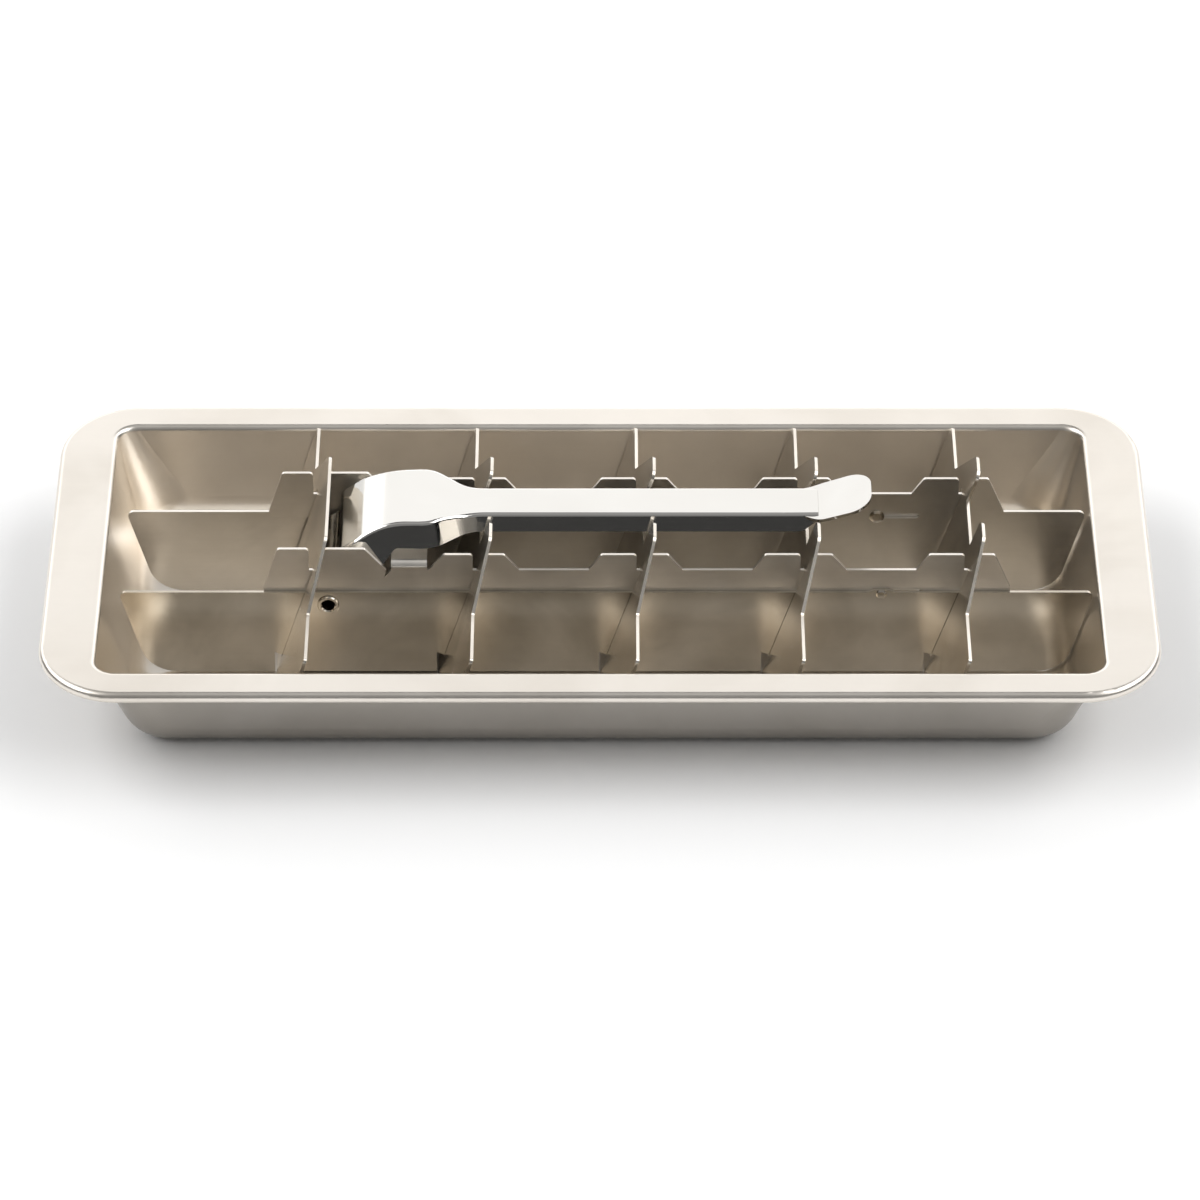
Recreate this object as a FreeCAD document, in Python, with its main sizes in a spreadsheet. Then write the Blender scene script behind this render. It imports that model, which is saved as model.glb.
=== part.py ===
import FreeCAD, Part
import math
import os
import Sketcher

# Lever ice cube tray: drawn pan, lift-out grid of two wall plates and five
# leaning dividers, a notched slider and a pressed lever.
# Frame: X along the tray, Y across it, Z up. The origin is the centre of the
# pan's underside.

doc = FreeCAD.newDocument("lever_ice_cube_tray")
sheet = doc.addObject("Spreadsheet::Sheet", "Sizes")
count = 0


def cell(alias, text):
    global count
    count += 1
    sheet.set("A%d" % count, alias)
    sheet.set("B%d" % count, text)
    sheet.setAlias("B%d" % count, alias)


# Pan and rim
cell("rim_length", "280")
cell("rim_width", "121")
cell("rim_corner", "20.5")
cell("tray_height", "28")
cell("gauge", "0.8")
cell("bead_size", "3.1")
cell("end_band", "14.3")
cell("side_band", "9.4")
cell("mouth_corner", "5")
cell("floor_corner", "13")
cell("end_slope", "15.5")
cell("side_slope", "9")
cell("floor_round", "8.4")
cell("lip_round", "1.5")

# Grid plates and their gaps
cell("floor_gap", "0.3")
cell("plate_drop", "1.5")
cell("plate_centre", "16.8")
cell("end_gap", "0.5")
cell("grid_slack", "3.2")
cell("side_gap", "1.05")
cell("slide_gap", "0.1")
cell("window_gap", "0.3")

# Dividers
cell("pitch_slack", "3.9")
cell("middle_foot", "0.45")
cell("lean", "17.4")
cell("wedge_height", "7.3")
cell("wedge_shoulder", "5.15")
cell("wedge_width", "4.9")
cell("window_foot", "4.9")
cell("wedge_gap", "0.25")
cell("wing_rise", "1.7")
cell("wing_gap", "2.2")
cell("wing_inner", "30.3")
cell("crown_rise", "15.7")
cell("crown_half", "17.1")
cell("saddle_rise", "7.4")
cell("saddle_half", "9.3")
cell("crown_round", "2.2")
cell("wing_round", "1.0")
cell("plate_top_round", "1.5")

# Slider
cell("tab_rise", "9.7")
cell("tall_rise", "11.5")
cell("recess_rise", "4.9")
cell("strip_sink", "1.0")
cell("notch_left", "8.75")
cell("tab_end", "16.65")
cell("recess_start", "20.4")
cell("recess_end", "3.3")
cell("tab_start", "-0.1")
cell("left_tab_top_place", "0.95")
cell("left_tab_foot_place", "-3.4")
cell("right_tab_top_place", "16.3")
cell("right_tab_foot_place", "21.3")
cell("vee_top_place", "22.85")
cell("vee_foot_place", "28.15")
cell("relief_depth", "2.2")
cell("web_start_place", "29.45")
cell("web_length", "9")
cell("web_bend", "1.7")
cell("web_rise", "7.2")
cell("ramp_foot_place", "-2.3")
cell("ramp_top_place", "1.4")
cell("slide_travel", "10")
cell("rivet_x_place", "-11.95")
cell("rivet_drop", "2.1")
cell("rivet_radius", "0.7")
cell("rivet_tail_lap", "1.2")
cell("bump_rise", "0.7")
cell("bump_half", "3.4")
cell("lug_drop", "6")
cell("lug_side", "2.6")
cell("tab_round", "0.9")
cell("end_round", "1.5")

# Lever
cell("pivot_x_place", "13.4")
cell("pivot_drop", "5.4")
cell("lever_gauge", "0.9")
cell("crest_round", "1.0")
cell("crest_inner", "0.3")
cell("ear_gap", "0.3")
cell("boss_radius", "4.0")
cell("nose_x_place", "2.65")
cell("nose_round", "22")
cell("head_rise", "16.1")
cell("head_peak_x_place", "24.5")
cell("head_peak_end_place", "28.2")
cell("head_fall", "0.15")
cell("nose_half", "8.6")
cell("nose_foot", "2.2")
cell("nose_rise", "8.2")
cell("brow_x_place", "10.5")
cell("handle_rise", "14.5")
cell("handle_start_place", "34.6")
cell("skirt_rise", "9.9")
cell("flange_rise", "10.25")
cell("skirt_draft", "22")
cell("head_half", "11.3")
cell("handle_half", "4.5")
cell("handle_end_place", "13.4")
cell("tongue_half", "7.9")
cell("tongue_end_place", "13.4")
cell("tongue_rise", "18.4")
cell("tube_radius", "2.0")
cell("tube_bore", "1.65")
cell("tube_flare", "2.75")
cell("turn_gap", "0.05")

# Sizes that follow from the ones above
cell("plate_inner", "=plate_centre - gauge / 2")
cell("plate_outer", "=plate_centre + gauge / 2")
cell("strip_outer", "=plate_inner - slide_gap")
cell("strip_inner", "=strip_outer - gauge")
cell("ear_outer", "=strip_inner - ear_gap")
cell("ear_inner", "=ear_outer - lever_gauge")
cell("grid_foot", "=gauge + floor_gap")
cell("plate_top", "=tray_height - plate_drop")
cell("rim_half_x", "=rim_length / 2")
cell("rim_half_y", "=rim_width / 2")
cell("pan_top_x", "=rim_half_x - end_band")
cell("pan_top_y", "=rim_half_y - side_band")
cell("pan_foot_x", "=pan_top_x - (tray_height - gauge) * tan(end_slope * 1 deg)")
cell("pan_foot_y", "=pan_top_y - (tray_height - gauge) * tan(side_slope * 1 deg)")
cell("skin_x", "=gauge / cos(end_slope * 1 deg)")
cell("skin_y", "=gauge / cos(side_slope * 1 deg)")
cell("shell_top_x", "=pan_top_x + skin_x")
cell("shell_top_y", "=pan_top_y + skin_y")
cell("shell_foot_x", "=shell_top_x - tray_height * tan(end_slope * 1 deg)")
cell("shell_foot_y", "=shell_top_y - tray_height * tan(side_slope * 1 deg)")
cell("shell_corner", "=mouth_corner + gauge")
cell("shell_floor_corner", "=floor_corner + gauge")
cell("shell_round", "=floor_round + gauge")
cell("flange_x", "=rim_half_x - bead_size")
cell("flange_y", "=rim_half_y - bead_size")
cell("flange_corner", "=rim_corner - bead_size")
cell("bead_round", "=bead_size / 2 - 0.05")
cell("bead_foot", "=tray_height - bead_size")

cell("plate_right_top", "=pan_top_x - plate_drop * tan(end_slope * 1 deg) - end_gap")
cell("plate_right_foot", "=plate_right_top - (plate_top - grid_foot) * tan(end_slope * 1 deg)")
cell("plate_left_top", "=grid_slack - plate_right_top")
cell("plate_left_foot", "=grid_slack - plate_right_foot")
cell("plate_round", "=floor_round + 0.6")

cell("pitch", "=(2 * pan_top_x - pitch_slack) / 6")
cell("wing_reach", "=pan_top_y - wing_gap")
cell("foot_1", "=middle_foot - 2 * pitch")
cell("foot_2", "=middle_foot - pitch")
cell("foot_3", "=middle_foot + 0")
cell("foot_4", "=middle_foot + pitch")
cell("foot_5", "=middle_foot + 2 * pitch")
cell("left_tab_top", "=foot_1 + left_tab_top_place")
cell("left_tab_foot", "=foot_1 + left_tab_foot_place")
cell("right_tab_top", "=foot_5 + right_tab_top_place")
cell("right_tab_foot", "=foot_5 + right_tab_foot_place")
cell("vee_top", "=foot_1 + vee_top_place")
cell("vee_foot", "=foot_1 + vee_foot_place")
cell("web_start", "=foot_1 + web_start_place")
cell("ramp_foot", "=foot_2 + ramp_foot_place")
cell("ramp_top", "=foot_2 + ramp_top_place")
cell("rivet_x", "=foot_5 + rivet_x_place")
cell("pivot_x", "=foot_1 + pivot_x_place")
cell("nose_x", "=pivot_x + nose_x_place")
cell("head_peak_x", "=pivot_x + head_peak_x_place")
cell("head_peak_end", "=pivot_x + head_peak_end_place")
cell("handle_start", "=pivot_x + handle_start_place")
cell("handle_end", "=foot_4 + handle_end_place")
cell("tongue_end", "=handle_end + tongue_end_place")
cell("brow_x", "=nose_x + brow_x_place")
cell("half_gauge", "=gauge / 2")
cell("face_offset", "=half_gauge / cos(lean * 1 deg)")
cell("wedge_left", "=foot_1 - half_gauge - 0.3")
cell("wedge_right_foot", "=foot_1 + face_offset + wedge_gap")
cell("wedge_mid_z", "=grid_foot + 2")
cell("wedge_right_mid", "=wedge_right_foot + 2 * tan(lean * 1 deg)")
cell("wedge_right_top", "=foot_1 + wedge_width")

cell("wing_v", "=(tray_height + wing_rise - grid_foot) / cos(lean * 1 deg)")
cell("crown_v", "=(tray_height + crown_rise - grid_foot) / cos(lean * 1 deg)")
cell("saddle_v", "=(tray_height + saddle_rise - grid_foot) / cos(lean * 1 deg)")
cell("recess_z", "=tray_height + recess_rise")
cell("window_top_v", "=(recess_z + window_gap - grid_foot) / cos(lean * 1 deg)")
cell("window_foot_v", "=window_foot + 0")
cell("window_in", "=strip_inner - window_gap")
cell("window_out", "=plate_outer + window_gap")
cell("divider_foot_y", "=pan_foot_y + floor_gap * tan(side_slope * 1 deg) - side_gap")
cell("divider_break_v", "=(wing_reach - divider_foot_y) / tan(side_slope * 1 deg)")
cell("divider_round", "=floor_round + 0.6")

cell("tab_z", "=tray_height + tab_rise")
cell("tall_z", "=tray_height + tall_rise")
cell("strip_foot_z", "=plate_top - strip_sink")
cell("notch_1_left", "=foot_1 + notch_left")
cell("notch_1_right", "=foot_1 + (recess_z - grid_foot) * tan(lean * 1 deg) + face_offset + wedge_gap")
cell("notch_cut_z", "=tall_z + 1")
cell("notch_1_right_top", "=notch_1_right + (notch_cut_z - recess_z) * tan(lean * 1 deg)")
cell("recess_2_left_top", "=foot_2 + tab_end")
cell("recess_2_left", "=foot_2 + recess_start")
cell("recess_2_right", "=foot_3 - recess_end")
cell("recess_2_right_top", "=foot_3 + tab_start")
cell("relief_z", "=recess_z - relief_depth")
cell("relief_x", "=vee_foot - 0.4")
cell("web_top_z", "=tray_height + web_rise")
cell("web_under_z", "=web_top_z - gauge")
cell("rivet_z", "=tray_height - rivet_drop")
cell("slot_radius", "=rivet_radius + slide_gap")
cell("slot_end_x", "=rivet_x + slide_travel")
cell("bump_z", "=plate_top + bump_rise")
cell("bump_left", "=rivet_x - bump_half")
cell("bump_right", "=rivet_x + bump_half")
cell("bump_left_top", "=bump_left + 1.4")
cell("bump_right_top", "=bump_right - 1.4")
cell("lug_z", "=tray_height - lug_drop")
cell("lug_left", "=rivet_x - lug_side")
cell("lug_right", "=slot_end_x + lug_side")
cell("pivot_z", "=tray_height - pivot_drop")
cell("tube_lip", "=plate_outer + 0.6")
cell("tube_lip_in", "=tube_lip - 0.3")
cell("tube_bore_chamfer", "=tube_bore + 0.3")
cell("tube_flare_chamfer", "=tube_flare - 0.25")
cell("rivet_cap", "=plate_outer + 0.5")
cell("rivet_cap_in", "=plate_outer + 0.45")
cell("rivet_head", "=plate_outer + 0.15")
cell("rivet_head_radius", "=rivet_radius + 0.7")
cell("rivet_cap_radius", "=0.7 * rivet_head_radius")
cell("rivet_seat", "=strip_inner - 0.1")
cell("rivet_tail", "=strip_inner - 0.35")
cell("rivet_tail_end", "=strip_inner - 0.6")
cell("rivet_tail_radius", "=rivet_radius + rivet_tail_lap")
cell("rivet_tail_chamfer", "=rivet_tail_radius - 0.7")

doc.recompute()


def val(alias):
    if alias.startswith("-"):
        return -val(alias[1:])
    if alias == "zero":
        return 0.0
    return float(sheet.get(alias))


def link(alias):
    if alias.startswith("-"):
        return "-Sizes." + alias[1:]
    return "Sizes." + alias


def vec(x, y, z=0.0):
    return FreeCAD.Vector(x, y, z)


def plane_of(body, role):
    return [f for f in body.Origin.OriginFeatures if f.Role == role][0]


def new_body(label):
    body = doc.addObject("PartDesign::Body", label)
    body.Label = label
    return body


def attach(body, name, role, offset=None):
    sketch = body.newObject("Sketcher::SketchObject", name)
    sketch.AttachmentSupport = [(plane_of(body, role), "")]
    sketch.MapMode = "FlatFace"
    if offset is not None:
        sketch.setExpression("AttachmentOffset.Base.z", link(offset))
    return sketch


def pin(sketch, kind, geo, pos, alias):
    if alias == "zero":
        target = -2 if kind == "DistanceX" else -1
        sketch.addConstraint(Sketcher.Constraint("PointOnObject", geo, pos, target))
        return
    index = sketch.addConstraint(Sketcher.Constraint(kind, -1, 1, geo, pos, val(alias)))
    sketch.setExpression("Constraints[%d]" % index, link(alias))


def add_polygon(sketch, points):
    first = len(sketch.Geometry)
    total = len(points)
    for i in range(total):
        a = points[i]
        b = points[(i + 1) % total]
        sketch.addGeometry(Part.LineSegment(vec(val(a[0]), val(a[1])), vec(val(b[0]), val(b[1]))))
    for i in range(total):
        sketch.addConstraint(
            Sketcher.Constraint("Coincident", first + i, 2, first + (i + 1) % total, 1)
        )
    for i in range(total):
        pin(sketch, "DistanceX", first + i, 1, points[i][0])
        pin(sketch, "DistanceY", first + i, 1, points[i][1])


def polygon(body, name, role, offset, points):
    sketch = attach(body, name, role, offset)
    add_polygon(sketch, points)
    return sketch


def add_circle(sketch, x, y, radius):
    geo = sketch.addGeometry(Part.Circle(vec(val(x), val(y)), vec(0, 0, 1), val(radius)))
    pin(sketch, "DistanceX", geo, 3, x)
    pin(sketch, "DistanceY", geo, 3, y)
    index = sketch.addConstraint(Sketcher.Constraint("Radius", geo, val(radius)))
    sketch.setExpression("Constraints[%d]" % index, link(radius))


def rounded_rectangle(body, name, offset, half_x, half_y, radius):
    # The lower side is drawn in two halves that meet at X = 0.
    sketch = attach(body, name, "XY_Plane", offset)
    x = val(half_x)
    y = val(half_y)
    r = val(radius)
    lines = [
        (vec(0, -y), vec(x - r, -y)),
        (vec(x, r - y), vec(x, y - r)),
        (vec(x - r, y), vec(r - x, y)),
        (vec(-x, y - r), vec(-x, r - y)),
        (vec(r - x, -y), vec(0, -y)),
    ]
    arcs = [
        (vec(x - r, r - y), -0.5 * math.pi, 0.0),
        (vec(x - r, y - r), 0.0, 0.5 * math.pi),
        (vec(r - x, y - r), 0.5 * math.pi, math.pi),
        (vec(r - x, r - y), math.pi, 1.5 * math.pi),
    ]
    for i in range(4):
        sketch.addGeometry(Part.LineSegment(lines[i][0], lines[i][1]))
        circle = Part.Circle(arcs[i][0], vec(0, 0, 1), r)
        sketch.addGeometry(Part.ArcOfCircle(circle, arcs[i][1], arcs[i][2]))
    sketch.addGeometry(Part.LineSegment(lines[4][0], lines[4][1]))
    for i in range(8):
        sketch.addConstraint(Sketcher.Constraint("Tangent", i, 2, i + 1, 1))
    sketch.addConstraint(Sketcher.Constraint("Coincident", 8, 2, 0, 1))
    sketch.addConstraint(Sketcher.Constraint("Horizontal", 0))
    sketch.addConstraint(Sketcher.Constraint("Horizontal", 8))
    sketch.addConstraint(Sketcher.Constraint("Vertical", 6))
    sketch.addConstraint(Sketcher.Constraint("Equal", 1, 3))
    sketch.addConstraint(Sketcher.Constraint("Equal", 3, 5))
    sketch.addConstraint(Sketcher.Constraint("Equal", 5, 7))
    sketch.addConstraint(Sketcher.Constraint("PointOnObject", 0, 1, -2))
    sketch.addConstraint(Sketcher.Constraint("Symmetric", 4, 1, 4, 2, -2))
    sketch.addConstraint(Sketcher.Constraint("Symmetric", 2, 1, 2, 2, -1))
    pin(sketch, "DistanceX", 2, 1, half_x)
    pin(sketch, "DistanceY", 4, 1, half_y)
    index = sketch.addConstraint(Sketcher.Constraint("Radius", 1, r))
    sketch.setExpression("Constraints[%d]" % index, link(radius))
    return sketch


def pad(body, name, sketch, length, both_ways=False, flip=False):
    feature = body.newObject("PartDesign::Pad", name)
    feature.Profile = sketch
    if both_ways:
        feature.Midplane = True
    feature.Reversed = flip
    feature.setExpression("Length", length)
    doc.recompute()
    return feature


def pocket_through(body, name, sketch):
    feature = body.newObject("PartDesign::Pocket", name)
    feature.Profile = sketch
    feature.Type = "ThroughAll"
    feature.Midplane = True
    doc.recompute()
    return feature


def row_along_x(body, name, feature, copies, length):
    pattern = body.newObject("PartDesign::LinearPattern", name)
    pattern.Originals = [feature]
    pattern.Direction = (plane_of(body, "X_Axis"), [""])
    pattern.setExpression("Length", length)
    pattern.Occurrences = copies
    body.Tip = pattern
    doc.recompute()
    return pattern


def edges_where(shape, test):
    return ["Edge%d" % (i + 1) for i, e in enumerate(shape.Edges) if test(e)]


def round_edges(body, name, base, radius, test):
    names = edges_where(base.Shape, test)
    feature = body.newObject("PartDesign::Fillet", name)
    feature.Base = (base, names)
    feature.setExpression("Radius", radius)
    doc.recompute()
    return feature


def spans(edge, axis):
    box = edge.BoundBox
    sizes = {"x": box.XLength, "y": box.YLength, "z": box.ZLength}
    others = [sizes[k] for k in sizes if k != axis]
    return max(others) < 1e-3 and sizes[axis] > 1e-3


def mid(edge):
    return edge.CenterOfMass


# Rim: a flat flange with a rolled bead round its edge
rim = new_body("rim")
rim_sketch = rounded_rectangle(
    rim, "rim_outline", "bead_foot", "rim_half_x", "rim_half_y", "rim_corner"
)
rim_block = pad(rim, "rim_block", rim_sketch, "Sizes.bead_size")
under_sketch = rounded_rectangle(
    rim, "flange_underside", "bead_foot", "flange_x", "flange_y", "flange_corner"
)
under = rim.newObject("PartDesign::Pocket", "flange_hollow")
under.Profile = under_sketch
under.Reversed = True
under.setExpression("Length", "Sizes.bead_size - Sizes.gauge")
doc.recompute()
pan_z = val("tray_height")
bead_foot = val("bead_foot")


def on_level(edge, z):
    return abs(edge.BoundBox.ZMax - z) < 1e-3 and abs(edge.BoundBox.ZMin - z) < 1e-3


def outside(edge):
    middle = mid(edge)
    return (
        abs(middle.x) > val("flange_x") + 0.5
        or abs(middle.y) > val("flange_y") + 0.5
        or abs(edge.BoundBox.XMax) > val("flange_x") + 0.5
        or abs(edge.BoundBox.XMin) > val("flange_x") + 0.5
    )


bead = round_edges(
    rim,
    "rolled_bead",
    under,
    "Sizes.bead_round",
    lambda e: outside(e) and (on_level(e, pan_z) or on_level(e, bead_foot)),
)


def pan_form(label, top_x, top_y, foot_x, foot_y, top_z, foot_z):
    # A block with sloping ends, and then sloping sides
    form = new_body(label)
    ends = polygon(
        form,
        label + "_ends",
        "XZ_Plane",
        None,
        [("-" + foot_x, foot_z), (foot_x, foot_z), (top_x, top_z), ("-" + top_x, top_z)],
    )
    block = pad(form, label + "_block", ends, "2 * Sizes." + top_y + " + 2", both_ways=True)
    sides = attach(form, label + "_sides", "YZ_Plane")
    for sign in ("", "-"):
        add_polygon(
            sides,
            [
                (sign + foot_y, foot_z),
                (sign + "rim_half_y", foot_z),
                (sign + "rim_half_y", top_z),
                (sign + top_y, top_z),
            ],
        )
    pocket_through(form, label + "_side_cuts", sides)
    return form


def part_fillet(label, base, picks):
    # picks: (edge number, first radius, last radius)
    feature = doc.addObject("Part::Fillet", label)
    feature.Base = base
    feature.Edges = picks
    doc.recompute()
    return feature


def pan_corners(label, base, top_radius, foot_radius):
    picks = []
    for i, edge in enumerate(base.Shape.Edges):
        if edge.BoundBox.ZLength < 5 or edge.BoundBox.XLength > 30:
            continue
        first = edge.valueAt(edge.FirstParameter)
        last = edge.valueAt(edge.LastParameter)
        radii = (val(top_radius), val(foot_radius))
        if first.z < last.z:
            radii = (val(foot_radius), val(top_radius))
        picks.append((i + 1, radii[0], radii[1]))
    return part_fillet(label, base, picks)


def pan_floor(label, base, foot_z, radius):
    picks = []
    for i, edge in enumerate(base.Shape.Edges):
        if on_level(edge, val(foot_z) if foot_z else 0.0):
            picks.append((i + 1, val(radius), val(radius)))
    return part_fillet(label, base, picks)


outside_form = pan_form(
    "pan_outside", "shell_top_x", "shell_top_y", "shell_foot_x", "shell_foot_y",
    "tray_height", "zero",
)
outside_corners = pan_corners(
    "pan_outside_corners", outside_form, "shell_corner", "shell_floor_corner"
)
outside_floor = pan_floor("pan_outside_floor", outside_corners, None, "shell_round")
inside_form = pan_form(
    "pan_inside", "pan_top_x", "pan_top_y", "pan_foot_x", "pan_foot_y",
    "tray_height", "gauge",
)
inside_corners = pan_corners("pan_inside_corners", inside_form, "mouth_corner", "floor_corner")
inside_floor = pan_floor("pan_inside_floor", inside_corners, "gauge", "floor_round")
pressing = doc.addObject("Part::MultiFuse", "pressing")
pressing.Shapes = [rim, outside_floor]
pressing.Refine = True
doc.recompute()
pan = doc.addObject("Part::Cut", "pan")
pan.Base = pressing
pan.Tool = inside_floor
pan.Refine = True
doc.recompute()
lip_picks = []
for i, edge in enumerate(pan.Shape.Edges):
    middle = mid(edge)
    if (
        on_level(edge, pan_z)
        and abs(middle.x) < val("pan_top_x") + 0.1
        and abs(middle.y) < val("pan_top_y") + 0.1
    ):
        lip_picks.append((i + 1, val("lip_round"), val("lip_round")))
tray = part_fillet("tray", pan, lip_picks)
tray.Label = "tray"

# Long wall plates with a wedge notch for each divider's foot


def wall_plate(label, side):
    body = new_body(label)
    # The sketch plane's normal points to -Y, so the front plate starts at
    # its inner face and the rear plate at its outer face, mirrored.
    start = "plate_inner" if side < 0 else "-plate_outer"
    outline = polygon(
        body,
        label + "_outline",
        "XZ_Plane",
        start,
        [
            ("plate_left_top", "plate_top"),
            ("plate_left_foot", "grid_foot"),
            ("plate_right_foot", "grid_foot"),
            ("plate_right_top", "plate_top"),
            ("bump_right", "plate_top"),
            ("bump_right_top", "bump_z"),
            ("bump_left_top", "bump_z"),
            ("bump_left", "plate_top"),
        ],
    )
    sheet_pad = pad(body, label + "_sheet", outline, "Sizes.gauge")
    low = round_edges(
        body,
        label + "_low_corners",
        sheet_pad,
        "Sizes.plate_round",
        lambda e: spans(e, "y") and mid(e).z < val("grid_foot") + 1,
    )
    high = round_edges(
        body,
        label + "_top_corners",
        low,
        "Sizes.plate_top_round",
        lambda e: spans(e, "y")
        and mid(e).z > val("plate_top") - 0.01
        and abs(mid(e).x) > val("foot_5") + 5,
    )
    wedge = polygon(
        body,
        label + "_wedge",
        "XZ_Plane",
        None,
        [
            ("wedge_left", "zero"),
            ("wedge_right_foot", "zero"),
            ("wedge_right_foot", "grid_foot"),
            ("wedge_right_mid", "wedge_mid_z"),
            ("wedge_right_top", "wedge_shoulder"),
            ("wedge_left", "wedge_height"),
        ],
    )
    wedge_cut = pocket_through(body, label + "_wedge_cut", wedge)
    row_along_x(body, label + "_wedge_row", wedge_cut, 5, "4 * Sizes.pitch")
    holes = attach(body, label + "_holes", "XZ_Plane")
    add_circle(holes, "pivot_x", "pivot_z", "tube_radius")
    add_circle(holes, "rivet_x", "rivet_z", "rivet_radius")
    pocket_through(body, label + "_holes_cut", holes)
    return body


front_plate = wall_plate("front_wall_plate", -1)
rear_plate = wall_plate("rear_wall_plate", 1)

# Cross dividers. Each stands in its own frame on its foot and leans to +X


def divider(number):
    label = "divider_%d" % number
    body = new_body(label)
    right = [
        ("divider_foot_y", "zero"),
        ("wing_reach", "divider_break_v"),
        ("wing_reach", "wing_v"),
        ("wing_inner", "wing_v"),
        ("crown_half", "crown_v"),
    ]
    if number > 1:
        right += [("saddle_half", "crown_v"), ("saddle_half", "saddle_v")]
    left = [("-" + a, b) for a, b in reversed(right)]
    outline = polygon(body, label + "_outline", "YZ_Plane", None, right + left)
    sheet_pad = pad(body, label + "_sheet", outline, "Sizes.gauge", both_ways=True)
    low = round_edges(
        body,
        label + "_low_corners",
        sheet_pad,
        "Sizes.divider_round",
        lambda e: spans(e, "x") and mid(e).z < 0.01,
    )
    high = round_edges(
        body,
        label + "_top_corners",
        low,
        "Sizes.crown_round",
        lambda e: spans(e, "x") and mid(e).z > val("saddle_v") + 0.5,
    )
    high = round_edges(
        body,
        label + "_wing_corners",
        high,
        "Sizes.wing_round",
        lambda e: spans(e, "x") and abs(mid(e).z - val("wing_v")) < 0.01,
    )
    windows = attach(body, label + "_windows", "YZ_Plane")
    for sign in ("", "-"):
        add_polygon(
            windows,
            [
                (sign + "window_in", "window_foot_v"),
                (sign + "window_out", "window_foot_v"),
                (sign + "window_out", "window_top_v"),
                (sign + "window_in", "window_top_v"),
            ],
        )
    pocket_through(body, label + "_windows_cut", windows)
    body.Placement = FreeCAD.Placement(
        vec(val("foot_%d" % number), 0, val("grid_foot")),
        FreeCAD.Rotation(vec(0, 1, 0), val("lean")),
    )
    body.setExpression("Placement.Base.x", "Sizes.foot_%d" % number)
    body.setExpression("Placement.Base.z", "Sizes.grid_foot")
    body.setExpression("Placement.Rotation.Angle", "Sizes.lean * 1 deg")
    return body


dividers = [divider(i) for i in range(1, 6)]

# Slider: two notched strips joined by a web that is bent over between them
slider = new_body("slider")
web_sketch = attach(slider, "web_section", "YZ_Plane", "web_start")
add_polygon(
    web_sketch,
    [
        ("-strip_outer", "strip_foot_z"),
        ("-strip_inner", "strip_foot_z"),
        ("-strip_inner", "web_under_z"),
        ("strip_inner", "web_under_z"),
        ("strip_inner", "strip_foot_z"),
        ("strip_outer", "strip_foot_z"),
        ("strip_outer", "web_top_z"),
        ("-strip_outer", "web_top_z"),
    ],
)
web = pad(slider, "web", web_sketch, "Sizes.web_length")
web_round = round_edges(
    slider,
    "web_bend_outside",
    web,
    "Sizes.web_bend - 0.02",
    lambda e: spans(e, "x") and abs(mid(e).z - val("web_top_z")) < 0.01,
)
web_inner = round_edges(
    slider,
    "web_bend_inside",
    web_round,
    "Sizes.web_bend - Sizes.gauge",
    lambda e: spans(e, "x") and abs(mid(e).z - val("web_under_z")) < 0.01,
)
strip_sketch = polygon(
    slider,
    "strip_outline",
    "XZ_Plane",
    "strip_inner",
    [
        ("left_tab_foot", "strip_foot_z"),
        ("lug_left", "strip_foot_z"),
        ("lug_left", "lug_z"),
        ("lug_right", "lug_z"),
        ("lug_right", "strip_foot_z"),
        ("right_tab_foot", "strip_foot_z"),
        ("right_tab_top", "tab_z"),
        ("ramp_top", "tab_z"),
        ("ramp_foot", "recess_z"),
        ("web_start", "recess_z"),
        ("relief_x", "relief_z"),
        ("vee_foot", "recess_z"),
        ("vee_top", "tall_z"),
        ("left_tab_top", "tall_z"),
    ],
)
strip = pad(slider, "front_strip", strip_sketch, "Sizes.gauge")
both = slider.newObject("PartDesign::Mirrored", "rear_strip")
both.Originals = [strip]
both.MirrorPlane = (plane_of(slider, "XZ_Plane"), [""])
slider.Tip = both
doc.recompute()
notch = polygon(
    slider,
    "notch_outline",
    "XZ_Plane",
    None,
    [
        ("notch_1_left", "recess_z"),
        ("notch_1_right", "recess_z"),
        ("notch_1_right_top", "notch_cut_z"),
        ("notch_1_left", "notch_cut_z"),
    ],
)
notch_cut = pocket_through(slider, "notch_cut", notch)
row_along_x(slider, "notch_row", notch_cut, 5, "4 * Sizes.pitch")
recess = polygon(
    slider,
    "recess_outline",
    "XZ_Plane",
    None,
    [
        ("recess_2_left", "recess_z"),
        ("recess_2_right", "recess_z"),
        ("recess_2_right_top", "tab_z"),
        ("recess_2_right_top", "notch_cut_z"),
        ("recess_2_left_top", "notch_cut_z"),
        ("recess_2_left_top", "tab_z"),
    ],
)
recess_cut = pocket_through(slider, "recess_cut", recess)
recess_row = row_along_x(slider, "recess_row", recess_cut, 3, "2 * Sizes.pitch")
slot = attach(slider, "slot_outline", "XZ_Plane")
sx = val("rivet_x")
ex = val("slot_end_x")
sz = val("rivet_z")
sr = val("slot_radius")
slot.addGeometry(Part.LineSegment(vec(sx, sz - sr), vec(ex, sz - sr)))
slot.addGeometry(
    Part.ArcOfCircle(Part.Circle(vec(ex, sz), vec(0, 0, 1), sr), -0.5 * math.pi, 0.5 * math.pi)
)
slot.addGeometry(Part.LineSegment(vec(ex, sz + sr), vec(sx, sz + sr)))
slot.addGeometry(
    Part.ArcOfCircle(Part.Circle(vec(sx, sz), vec(0, 0, 1), sr), 0.5 * math.pi, 1.5 * math.pi)
)
for i in range(4):
    slot.addConstraint(Sketcher.Constraint("Tangent", i, 2, (i + 1) % 4, 1))
slot.addConstraint(Sketcher.Constraint("Horizontal", 0))
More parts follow.
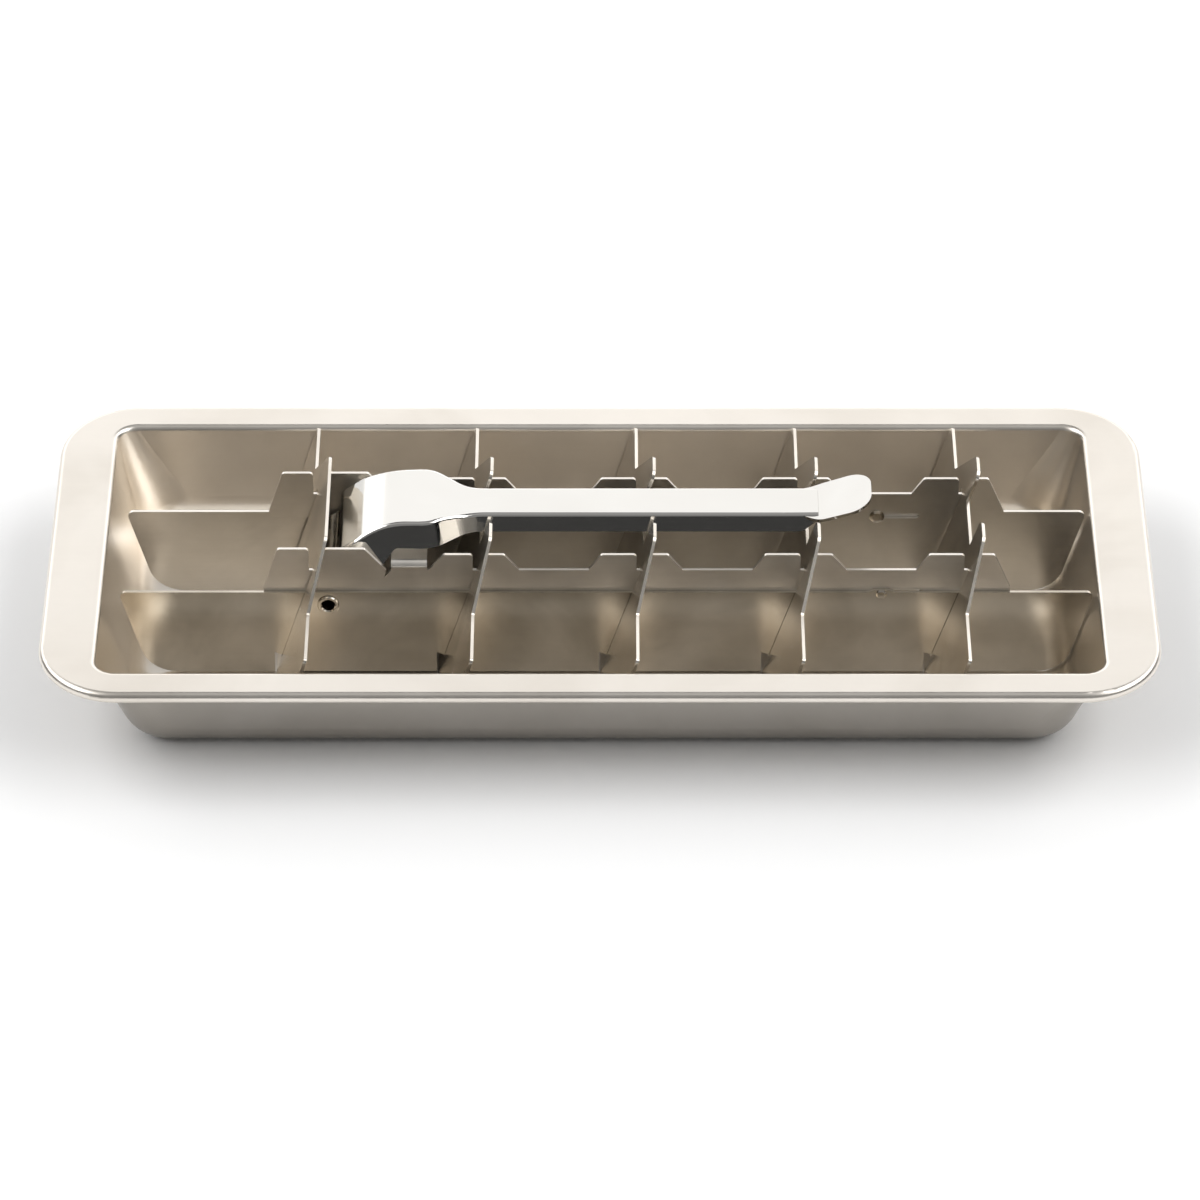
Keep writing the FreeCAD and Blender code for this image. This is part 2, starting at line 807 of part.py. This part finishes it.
pin(slot, "DistanceX", 3, 3, "rivet_x")
pin(slot, "DistanceY", 3, 3, "rivet_z")
pin(slot, "DistanceX", 1, 3, "slot_end_x")
slot_index = slot.addConstraint(Sketcher.Constraint("Radius", 1, sr))
slot.setExpression("Constraints[%d]" % slot_index, "Sizes.slot_radius")
slot_cut = pocket_through(slider, "slot_cut", slot)
tab_corners = round_edges(
    slider,
    "tab_corners",
    slot_cut,
    "Sizes.tab_round",
    lambda e: spans(e, "y")
    and (abs(mid(e).z - val("tab_z")) < 0.01 or abs(mid(e).z - val("tall_z")) < 0.01),
)
end_corners = round_edges(
    slider,
    "end_corners",
    tab_corners,
    "Sizes.end_round",
    lambda e: spans(e, "y")
    and (
        abs(mid(e).x - val("left_tab_foot")) < 0.01
        or abs(mid(e).x - val("right_tab_foot")) < 0.01
        or abs(mid(e).z - val("lug_z")) < 0.01
    ),
)

# Tubular rivet that the lever turns on, and the slider's two guide rivets


def turned(label, x, z, points):
    # points: named distances from the axis and along it
    body = new_body(label)
    outline = polygon(body, label + "_outline", "XY_Plane", None, points)
    feature = body.newObject("PartDesign::Revolution", label + "_turned")
    feature.Profile = outline
    feature.ReferenceAxis = (plane_of(body, "Y_Axis"), [""])
    feature.Angle = 360
    body.setExpression("Placement.Base.x", "Sizes." + x)
    body.setExpression("Placement.Base.z", "Sizes." + z)
    doc.recompute()
    return body


pivot_tube = turned(
    "pivot_tube",
    "pivot_x",
    "pivot_z",
    [
        ("tube_bore", "-tube_lip_in"),
        ("tube_bore_chamfer", "-tube_lip"),
        ("tube_flare_chamfer", "-tube_lip"),
        ("tube_flare", "-tube_lip_in"),
        ("tube_flare", "-plate_outer"),
        ("tube_radius", "-plate_outer"),
        ("tube_radius", "plate_outer"),
        ("tube_flare", "plate_outer"),
        ("tube_flare", "tube_lip_in"),
        ("tube_flare_chamfer", "tube_lip"),
        ("tube_bore_chamfer", "tube_lip"),
        ("tube_bore", "tube_lip_in"),
    ],
)


def guide_rivet(label, side):
    sign = "-" if side < 0 else ""
    points = [
        ("zero", "rivet_cap"),
        ("rivet_cap_radius", "rivet_cap_in"),
        ("rivet_head_radius", "rivet_head"),
        ("rivet_head_radius", "plate_outer"),
        ("rivet_radius", "plate_outer"),
        ("rivet_radius", "rivet_seat"),
        ("rivet_tail_radius", "rivet_seat"),
        ("rivet_tail_radius", "rivet_tail"),
        ("rivet_tail_chamfer", "rivet_tail_end"),
        ("zero", "rivet_tail_end"),
    ]
    return turned(label, "rivet_x", "rivet_z", [(x, sign + y) for x, y in points])


rivet_front = guide_rivet("guide_rivet_front", -1)
rivet_rear = guide_rivet("guide_rivet_rear", 1)

# Lever: a pressed head with flared skirts, two ears and a rounded nose, a
# channel handle, and a flat tongue turned up at its end. The sheet form is
# the outer body less the same body set in by the sheet's thickness.


def rounded_wire(points, place):
    # points: (a, b, radius) in a flat outline, radius 0 for a sharp corner
    total = len(points)
    cuts = []
    for i in range(total):
        here = vec(points[i][0], points[i][1])
        back = vec(points[i - 1][0], points[i - 1][1]) - here
        ahead = vec(points[(i + 1) % total][0], points[(i + 1) % total][1]) - here
        radius = points[i][2]
        if radius <= 0:
            cuts.append((here, None, here))
            continue
        back.normalize()
        ahead.normalize()
        half = back.getAngle(ahead) / 2
        reach = radius / math.tan(half)
        middle = back + ahead
        middle.normalize()
        peak = here + middle * (radius / math.sin(half) - radius)
        cuts.append((here + back * reach, peak, here + ahead * reach))
    edges = []
    for i in range(total):
        first, peak, last = cuts[i]
        if peak is not None:
            arc = Part.Arc(
                place(first.x, first.y), place(peak.x, peak.y), place(last.x, last.y)
            )
            edges.append(arc.toShape())
        follow = cuts[(i + 1) % total][0]
        edges.append(Part.makeLine(place(last.x, last.y), place(follow.x, follow.y)))
    return Part.Wire(edges)


def across(points, y_from, y_to):
    wire = rounded_wire(points, lambda a, b: vec(a, y_from, b))
    return Part.Face(wire).extrude(vec(0, y_to - y_from, 0))


lg = val("lever_gauge")
zr = val("tray_height")
nose = val("nose_x")
nose_r = val("nose_round")
nose_z = val("tray_height") + val("nose_rise")
brow_x = val("brow_x")
peak_x = val("head_peak_x")
peak_end = val("head_peak_end")
peak_z = zr + val("head_rise")
corner_z = peak_z - val("head_fall")
handle_z = zr + val("handle_rise")
handle_x = val("handle_start")
end_x = val("handle_end")
skirt_z = zr + val("skirt_rise")
flange_bottom = zr + val("flange_rise")
draft_angle = math.radians(val("skirt_draft"))
px = val("pivot_x")
pz = val("pivot_z")
boss = val("boss_radius")
ear_out = val("ear_outer")
ear_in = val("ear_inner")


def side_form(inset):
    # Side view of head, ears and handle
    side_x = nose + inset
    slope_run = brow_x - nose
    slope_rise = corner_z - nose_z
    tilt = math.atan2(slope_rise, slope_run)
    # The set-in corner lies where the set-in wall and slope meet
    low_z = nose_z - inset * (1 - math.sin(tilt)) / math.cos(tilt)
    flat = math.atan2(peak_z - corner_z, peak_x - brow_x)
    turn = (tilt - flat) / 2
    brow_in = inset * math.tan(turn)
    top = [
        (side_x, low_z, 2.2 - inset),
        (brow_x + inset * math.sin(flat) + brow_in * math.cos(flat),
         corner_z - inset * math.cos(flat) + brow_in * math.sin(flat), nose_r - inset),
        (peak_x, peak_z - inset, 14 - inset),
        (peak_end, peak_z - inset, 14 - inset),
        (handle_x, handle_z - inset, 14 + inset),
    ]
    if inset > 0:
        low = [
            (end_x + 5, handle_z - inset, 0),
            (end_x + 5, pz - 10, 0),
            (px - 10, pz - 10, 0),
            (px - 10, zr + 0.9, 0),
            (nose + inset, zr + 0.9, 0),
        ]
        return across(top + low, -30, 30)
    along = vec(0.619, 0.786)
    along.normalize()
    right = (px + boss * along.y, pz - boss * along.x)
    left = (px - boss * along.y, pz + boss * along.x)
    low = [
        (end_x, handle_z, 0),
        (end_x, handle_z - 1.5, 1.0),
        (end_x - 4.0, flange_bottom, 4),
        (handle_x - 1, flange_bottom, 6),
        (handle_x - 8, skirt_z, 6),
        (right[0] + (skirt_z - right[1]) * along.x / along.y, skirt_z, 1.5),
        (right[0], right[1], 0),
        (px, pz, 0),
        (left[0], left[1], 0),
        (nose, zr + 0.9, 0),
    ]
    disc = Part.makeCylinder(boss, 60, vec(px, -30, pz), vec(0, 1, 0))
    return across(top + low, -30, 30).fuse(disc).removeSplitter()


def set_out(points, distance):
    # Moves an open outline sideways (to larger Y) by the distance
    lines = []
    for i in range(len(points) - 1):
        a = vec(points[i][0], points[i][1])
        b = vec(points[i + 1][0], points[i + 1][1])
        run = b - a
        run.normalize()
        lines.append((a + vec(-run.y, run.x) * distance, run))
    moved = [(points[0][0], lines[0][0].y + (points[0][0] - lines[0][0].x) * lines[0][1].y / lines[0][1].x)]
    for i in range(1, len(lines)):
        p, u = lines[i - 1]
        q, w = lines[i]
        k = ((q.x - p.x) * w.y - (q.y - p.y) * w.x) / (u.x * w.y - u.y * w.x)
        moved.append((p.x + u.x * k, p.y + u.y * k))
    p, u = lines[-1]
    moved.append((points[-1][0], p.y + (points[-1][0] - p.x) * u.y / u.x))
    return moved


def plan_form(inset, cap):
    # Plan view of head and handle, widening downwards by the skirts' draft
    half = [
        (nose - 14.0, val("nose_half")),
        (nose + 0.3, val("nose_half")),
        (nose + 4.7, val("head_half") - 0.8),
        (peak_x + 1.2, val("head_half") - 0.15),
        (handle_x + 0.5, val("handle_half")),
        (end_x + 3, val("handle_half")),
    ]
    bends = [0, -8, 9, 7, -13, 0]
    wires = []
    for z in (zr + 18, pz - 6):
        grow = (zr + 17 - z) * math.tan(draft_angle) - inset / math.cos(draft_angle)
        side = set_out(half, grow)
        rounded = []
        for i in range(len(side)):
            radius = bends[i]
            if radius > 0:
                radius = radius + grow
            elif radius < 0:
                radius = max(-radius - grow, 0.05)
            rounded.append((side[i][0], side[i][1], radius))
        loop = [(x, -y, r) for x, y, r in rounded] + list(reversed(rounded))
        wires.append(rounded_wire(loop, lambda a, b, level=z: vec(a, b, level)))
    solid = Part.makeLoft(wires, True, True)
    box = Part.makeBox(160, 2 * cap, 60)
    box.translate(vec(-90, -cap, pz - 8))
    return solid.common(box)


def crest(shape):
    # Edges where the top, or the nose wall, meets the sides
    found = []
    for edge in shape.Edges:
        point = edge.valueAt((edge.FirstParameter + edge.LastParameter) / 2)
        if abs(point.y) < 3 or point.z < skirt_z - 6 or edge.Length < 0.15:
            continue
        normals = []
        for face in shape.ancestorsOfType(edge, Part.Face):
            u, v = face.Surface.parameter(point)
            normals.append(face.normalAt(u, v))
        normals.sort(key=lambda n: abs(n.y))
        top = normals[0]
        if abs(top.y) > 0.02 or abs(normals[-1].y) < 0.7:
            continue
        if top.z > 0.05 or top.x < -0.5 and top.z > -0.3:
            found.append(edge)
    return found


outer = side_form(0).common(plan_form(0, ear_out))
inner = side_form(lg).common(plan_form(lg, ear_in))
outer = outer.makeFillet(val("crest_round"), crest(outer))
inner = inner.makeFillet(val("crest_inner"), crest(inner))
form = outer.cut(inner)
foot_box = Part.makeBox(12, 2 * ear_in, 12)
foot_box.translate(vec(nose - 5, -ear_in, zr + val("nose_foot") - 12))
form = form.cut(foot_box)

tongue_z = zr + val("tongue_rise")
tongue_x = val("tongue_end")
dip_z = handle_z - 0.7
tongue = across(
    [
        (end_x - 9, handle_z, 0),
        (end_x - 0.5, dip_z, 9),
        (tongue_x, tongue_z, 0),
        (tongue_x, tongue_z - lg, 0),
        (end_x - 0.5, dip_z - lg, 9 + lg),
        (end_x - 9, handle_z - lg, 0),
    ],
    -12,
    12,
)
th = val("tongue_half")
hh = val("handle_half") + 0.6
plan_wire = rounded_wire(
    [
        (end_x - 9, -hh, 0),
        (end_x - 5, -hh, 6),
        (end_x + 0.5, 0.4 - th, 8),
        (tongue_x, -th, 5.5),
        (tongue_x, th, 5.5),
        (end_x + 0.5, th - 0.4, 8),
        (end_x - 5, hh, 6),
        (end_x - 9, hh, 0),
    ],
    lambda a, b: vec(a, b, zr),
)
plan = Part.Face(plan_wire).extrude(vec(0, 0, 30))
tongue = tongue.common(plan)
lever_shape = form.fuse(tongue)
bore = Part.makeCylinder(val("tube_radius") + val("turn_gap"), 40, vec(px, -20, pz), vec(0, 1, 0))
lever_shape = lever_shape.cut(bore).removeSplitter()
lever = doc.addObject("Part::Feature", "lever")
lever.Label = "lever"
lever.Shape = lever_shape

doc.recompute()

pieces = [tray, front_plate, rear_plate] + dividers
pieces += [slider, lever, pivot_tube, rivet_front, rivet_rear]
for item in doc.Objects:
    for word in ("Invalid", "Error"):
        if word in item.State:
            raise RuntimeError("%s is %s" % (item.Label, item.State))
for piece in pieces:
    if piece.Shape.isNull() or not piece.Shape.isValid():
        raise RuntimeError("%s has no valid shape" % piece.Label)
os.makedirs("parts", exist_ok=True)
for piece in pieces:
    box = piece.Shape.BoundBox
    print(
        "%-18s solids %d volume %9.2f x %7.2f %7.2f y %7.2f %7.2f z %6.2f %6.2f"
        % (
            piece.Label,
            len(piece.Shape.Solids),
            piece.Shape.Volume,
            box.XMin,
            box.XMax,
            box.YMin,
            box.YMax,
            box.ZMin,
            box.ZMax,
        )
    )
    piece.Shape.exportStep("parts/%s.step" % piece.Label)
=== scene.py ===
import bpy
import math
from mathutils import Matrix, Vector

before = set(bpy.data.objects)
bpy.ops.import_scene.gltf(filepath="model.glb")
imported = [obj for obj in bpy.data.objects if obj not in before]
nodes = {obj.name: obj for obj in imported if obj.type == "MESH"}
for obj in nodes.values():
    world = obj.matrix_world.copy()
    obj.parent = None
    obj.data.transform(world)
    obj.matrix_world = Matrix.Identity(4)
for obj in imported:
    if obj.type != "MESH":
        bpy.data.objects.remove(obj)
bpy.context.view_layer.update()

# Camera: long lens, straight on to the long side; metres, radians, lens in mm
ELEVATION = math.radians(38.0)
DISTANCE = 1.588
LENS = 187.3
SENSOR_WIDTH = 36.0
CLIP_NEAR = 0.05
CLIP_FAR = 50.0
target = Vector((0.0, -0.0084, 0.0172))
camera_data = bpy.data.cameras.new("camera")
camera_data.lens = LENS
camera_data.sensor_width = SENSOR_WIDTH
camera_data.clip_start = CLIP_NEAR
camera_data.clip_end = CLIP_FAR
camera = bpy.data.objects.new("camera", camera_data)
bpy.context.scene.collection.objects.link(camera)
toward_camera = Vector((0.0, -math.cos(ELEVATION), math.sin(ELEVATION)))
camera.location = target + DISTANCE * toward_camera
camera.rotation_euler = (math.radians(90.0) - ELEVATION, 0.0, 0.0)
bpy.context.scene.camera = camera


# Material helpers

def new_material(name):
    mat = bpy.data.materials.new(name)
    mat.use_nodes = True
    tree = mat.node_tree
    tree.nodes.clear()
    out = tree.nodes.new("ShaderNodeOutputMaterial")
    bsdf = tree.nodes.new("ShaderNodeBsdfPrincipled")
    tree.links.new(bsdf.outputs["BSDF"], out.inputs["Surface"])
    return mat, tree, bsdf


def mapped(tree, scale):
    coord = tree.nodes.new("ShaderNodeTexCoord")
    mapping = tree.nodes.new("ShaderNodeMapping")
    mapping.inputs["Scale"].default_value = scale
    tree.links.new(coord.outputs["Object"], mapping.inputs["Vector"])
    return mapping.outputs["Vector"]


def noise(tree, scale, detail, roughness, vector, distortion=0.0):
    node = tree.nodes.new("ShaderNodeTexNoise")
    node.inputs["Scale"].default_value = scale
    node.inputs["Detail"].default_value = detail
    node.inputs["Roughness"].default_value = roughness
    node.inputs["Distortion"].default_value = distortion
    tree.links.new(vector, node.inputs["Vector"])
    return node.outputs["Fac"]


def ramp(tree, value, stops):
    node = tree.nodes.new("ShaderNodeValToRGB")
    elements = node.color_ramp.elements
    while len(elements) > 1:
        elements.remove(elements[-1])
    for i, (place, color) in enumerate(stops):
        element = elements[0] if i == 0 else elements.new(place)
        element.position = place
        element.color = (color[0], color[1], color[2], 1.0)
    tree.links.new(value, node.inputs["Fac"])
    return node.outputs["Color"]


def span(tree, value, low, high):
    node = tree.nodes.new("ShaderNodeMapRange")
    node.inputs["To Min"].default_value = low
    node.inputs["To Max"].default_value = high
    tree.links.new(value, node.inputs["Value"])
    return node.outputs["Result"]


def mix_values(tree, a, b, factor):
    node = tree.nodes.new("ShaderNodeMix")
    node.data_type = "FLOAT"
    node.inputs["Factor"].default_value = factor
    tree.links.new(a, node.inputs["A"])
    tree.links.new(b, node.inputs["B"])
    return node.outputs["Result"]


def math_node(tree, kind, a, b=None):
    node = tree.nodes.new("ShaderNodeMath")
    node.operation = kind
    for i, value in enumerate((a, b)):
        if value is None:
            continue
        if isinstance(value, (int, float)):
            node.inputs[i].default_value = value
        else:
            tree.links.new(value, node.inputs[i])
    return node.outputs["Value"]


def smooth(tree, value, low, high, out_low=0.0, out_high=1.0):
    node = tree.nodes.new("ShaderNodeMapRange")
    node.interpolation_type = "SMOOTHSTEP"
    node.inputs["From Min"].default_value = low
    node.inputs["From Max"].default_value = high
    node.inputs["To Min"].default_value = out_low
    node.inputs["To Max"].default_value = out_high
    tree.links.new(value, node.inputs["Value"])
    return node.outputs["Result"]


def tinted(tree, color, factor):
    # Multiplies a colour by a grey value
    node = tree.nodes.new("ShaderNodeVectorMath")
    node.operation = "SCALE"
    tree.links.new(color, node.inputs[0])
    tree.links.new(factor, node.inputs["Scale"])
    return node.outputs["Vector"]


# The height at which the pan's outer wall meets the flange, and the blend round it; the
# painted shade on the outside stops here
RIM_FOOT = 0.0249
RIM_BLEND = 0.0008


def painted_shade_outside_mask(tree):
    # Painted shade mask: 1 on the pan's outer walls and underside, 0 on its inside and rim
    coord = tree.nodes.new("ShaderNodeTexCoord")
    flat = tree.nodes.new("ShaderNodeVectorMath")
    flat.operation = "MULTIPLY"
    flat.inputs[1].default_value = (1.0, 1.0, 0.0)
    tree.links.new(coord.outputs["Object"], flat.inputs[0])
    dot = tree.nodes.new("ShaderNodeVectorMath")
    dot.operation = "DOT_PRODUCT"
    tree.links.new(flat.outputs["Vector"], dot.inputs[0])
    tree.links.new(coord.outputs["Normal"], dot.inputs[1])
    outward = smooth(tree, dot.outputs["Value"], 0.002, 0.01)
    split = tree.nodes.new("ShaderNodeSeparateXYZ")
    tree.links.new(coord.outputs["Normal"], split.inputs["Vector"])
    under = smooth(tree, split.outputs["Z"], -0.2, -0.6)
    place = tree.nodes.new("ShaderNodeSeparateXYZ")
    tree.links.new(coord.outputs["Object"], place.inputs["Vector"])
    below = smooth(tree, place.outputs["Z"], RIM_FOOT + RIM_BLEND, RIM_FOOT - RIM_BLEND)
    either = math_node(tree, "MAXIMUM", outward, under)
    return math_node(tree, "MULTIPLY", either, below)


# Metres over which the streaks' relief rises
RELIEF_DEPTH = 0.0001
# How much finer the smudges are than the clouds, and how much fainter
SMUDGE_SCALE = 3.7
SMUDGE_DEPTH = 0.4
# The streaks' share of the gloss, the rest being smudges
STREAK_GLOSS = 0.20


def steel(
    name, light, dark, rough, brush, bump, cloud_scale, cloud_depth, streak_depth, outer=None
):
    """A procedural steel.

    light, dark: base colours of its clouds; rough: lowest and highest roughness;
    brush: scale of the fine streaks along each axis; bump: strength of their relief;
    cloud_depth, streak_depth: how far each darkens; outer: factor of painted shade
    on the colour of the pan's outside.
    """
    mat, tree, bsdf = new_material(name)
    bsdf.inputs["Metallic"].default_value = 1.0
    streaks = noise(tree, 1.0, 2.0, 0.5, mapped(tree, brush))
    plain_vector = mapped(tree, (1.0, 1.0, 1.0))
    clouds = noise(tree, cloud_scale, 3.0, 0.5, plain_vector, 0.8)
    smudges = noise(tree, cloud_scale * SMUDGE_SCALE, 5.0, 0.62, plain_vector, 0.4)

    # Clouds, smudges and streaks each darken the colour a little
    deep = smooth(tree, clouds, 0.32, 0.66, 1.0 - cloud_depth, 1.0)
    worn = smooth(tree, smudges, 0.30, 0.72, 1.0 - SMUDGE_DEPTH * cloud_depth, 1.0)
    lined = span(tree, streaks, 1.0 - streak_depth, 1.0 + 0.3 * streak_depth)
    shade = math_node(tree, "MULTIPLY", math_node(tree, "MULTIPLY", deep, worn), lined)
    # Painted shade: the pan's outer walls and underside are darkened by the factor outer
    if outer is not None:
        outside = smooth(tree, painted_shade_outside_mask(tree), 0.0, 1.0, 1.0, outer)
        shade = math_node(tree, "MULTIPLY", shade, outside)
    color = ramp(tree, clouds, [(0.30, dark), (0.62, light)])
    tree.links.new(tinted(tree, color, shade), bsdf.inputs["Base Color"])

    both = mix_values(tree, smudges, streaks, STREAK_GLOSS)
    gloss = smooth(tree, both, 0.2, 0.8, rough[0], rough[1])
    tree.links.new(gloss, bsdf.inputs["Roughness"])

    relief = tree.nodes.new("ShaderNodeBump")
    relief.inputs["Strength"].default_value = bump
    relief.inputs["Distance"].default_value = RELIEF_DEPTH
    tree.links.new(streaks, relief.inputs["Height"])
    tree.links.new(relief.outputs["Normal"], bsdf.inputs["Normal"])
    return mat


# The pan's outside gets painted shade, its colour times 0.52, standing in for the darker
# reflections on its outer walls
pan_steel = steel(
    "pan_satin_steel", light=(0.840, 0.790, 0.722), dark=(0.825, 0.768, 0.690),
    rough=(0.29, 0.32), brush=(30.0, 700.0, 700.0), bump=0.004,
    cloud_scale=22.0, cloud_depth=0.07, streak_depth=0.015, outer=0.52,
)
grid_steel = steel(
    "grid_brushed_steel", light=(0.740, 0.682, 0.590), dark=(0.66, 0.597, 0.497),
    rough=(0.20, 0.24), brush=(60.0, 1300.0, 1300.0), bump=0.02,
    cloud_scale=34.0, cloud_depth=0.18, streak_depth=0.04,
)
# Painted light: a lighter copy of the plate steel for the rear plate and slider, lighter
# than the front plate, to match their brighter lit tone behind and below the handle
lighter_painted_steel = steel(
    "plate_steel_painted_lighter", light=(0.950, 0.903, 0.835), dark=(0.91, 0.858, 0.783),
    rough=(0.30, 0.35), brush=(60.0, 1300.0, 1300.0), bump=0.02,
    cloud_scale=34.0, cloud_depth=0.10, streak_depth=0.04,
)
cross_steel = steel(
    "divider_brushed_steel", light=(0.830, 0.776, 0.697), dark=(0.77, 0.712, 0.628),
    rough=(0.23, 0.28), brush=(1300.0, 60.0, 1300.0), bump=0.02,
    cloud_scale=34.0, cloud_depth=0.14, streak_depth=0.04,
)
lever_steel = steel(
    "lever_polished_steel", light=(0.80, 0.783, 0.748), dark=(0.79, 0.770, 0.732),
    rough=(0.05, 0.10), brush=(90.0, 1600.0, 1600.0), bump=0.01,
    cloud_scale=26.0, cloud_depth=0.02, streak_depth=0.02,
)

finishes = {
    "tray": pan_steel,
    "front_wall_plate": grid_steel,
    # The rear plate and slider take the lighter copy of the plate steel, which is painted
    # light
    "rear_wall_plate": lighter_painted_steel,
    "slider": lighter_painted_steel,
    "pivot_tube": grid_steel,
    "guide_rivet_front": grid_steel,
    "guide_rivet_rear": grid_steel,
    "lever": lever_steel,
}
for number in range(1, 6):
    finishes["divider_%d" % number] = cross_steel
for name, mat in finishes.items():
    for slot in nodes[name].material_slots:
        slot.material = mat

# Floor: a pale square just under the pan; metres
FLOOR_HALF = 6.0
FLOOR_Z = -0.0003
corners = ((-1.0, -1.0), (1.0, -1.0), (1.0, 1.0), (-1.0, 1.0))
floor_mesh = bpy.data.meshes.new("floor")
floor_mesh.from_pydata(
    [(FLOOR_HALF * x, FLOOR_HALF * y, FLOOR_Z) for x, y in corners], [], [(0, 1, 2, 3)]
)
floor = bpy.data.objects.new("floor", floor_mesh)
bpy.context.scene.collection.objects.link(floor)
floor_mat, floor_tree, floor_bsdf = new_material("pale_floor")
floor_bsdf.inputs["Base Color"].default_value = (0.96, 0.96, 0.96, 1.0)
floor_bsdf.inputs["Roughness"].default_value = 0.9
floor_mesh.materials.append(floor_mat)


# Studio walls: panels of soft light. Each is a band of elevation and a band of
# angle from straight behind, in degrees, with its strength. Bands run past the
# end of their scale where a panel has no edge; elsewhere the walls are dark.
PANELS = (
    (-5.0, 14.0, -20.0, 48.0, 0.95),
    (14.0, 27.0, -20.0, 48.0, 2.0),
    (27.0, 48.0, -20.0, 48.0, 1.20),
    (30.0, 64.0, 48.0, 132.0, 3.2),
    (64.0, 100.0, -20.0, 200.0, 0.40),
    (-5.0, 14.0, 132.0, 200.0, 0.05),
    (14.0, 30.0, 132.0, 200.0, 0.26),
    (30.0, 64.0, 132.0, 200.0, 0.25),
)
ELEVATION_EDGE = 3.0
ANGLE_EDGE = 6.0
DEGREES = 180.0 / math.pi


def band(tree, value, low, high, edge):
    rise = smooth(tree, value, low - edge, low + edge)
    fall = smooth(tree, value, high - edge, high + edge, 1.0, 0.0)
    return math_node(tree, "MULTIPLY", rise, fall)


world = bpy.data.worlds.new("studio")
bpy.context.scene.world = world
world.use_nodes = True
world_tree = world.node_tree
direction = world_tree.nodes.new("ShaderNodeTexCoord")
parts = world_tree.nodes.new("ShaderNodeSeparateXYZ")
world_tree.links.new(direction.outputs["Generated"], parts.inputs["Vector"])
height = math_node(
    world_tree, "MULTIPLY", math_node(world_tree, "ARCSINE", parts.outputs["Z"]), DEGREES
)
turn = math_node(world_tree, "ARCTAN2", parts.outputs["X"], parts.outputs["Y"])
aside = math_node(world_tree, "ABSOLUTE", math_node(world_tree, "MULTIPLY", turn, DEGREES))
glow = None
for low_height, high_height, low_side, high_side, strength in PANELS:
    panel = math_node(
        world_tree, "MULTIPLY",
        band(world_tree, height, low_height, high_height, ELEVATION_EDGE),
        band(world_tree, aside, low_side, high_side, ANGLE_EDGE),
    )
    panel = math_node(world_tree, "MULTIPLY", panel, strength)
    glow = panel if glow is None else math_node(world_tree, "ADD", glow, panel)
backdrop = world_tree.nodes["Background"]
backdrop.inputs["Color"].default_value = (1.0, 1.0, 1.0, 1.0)
world_tree.links.new(glow, backdrop.inputs["Strength"])
bpy.context.scene.view_settings.view_transform = "Standard"
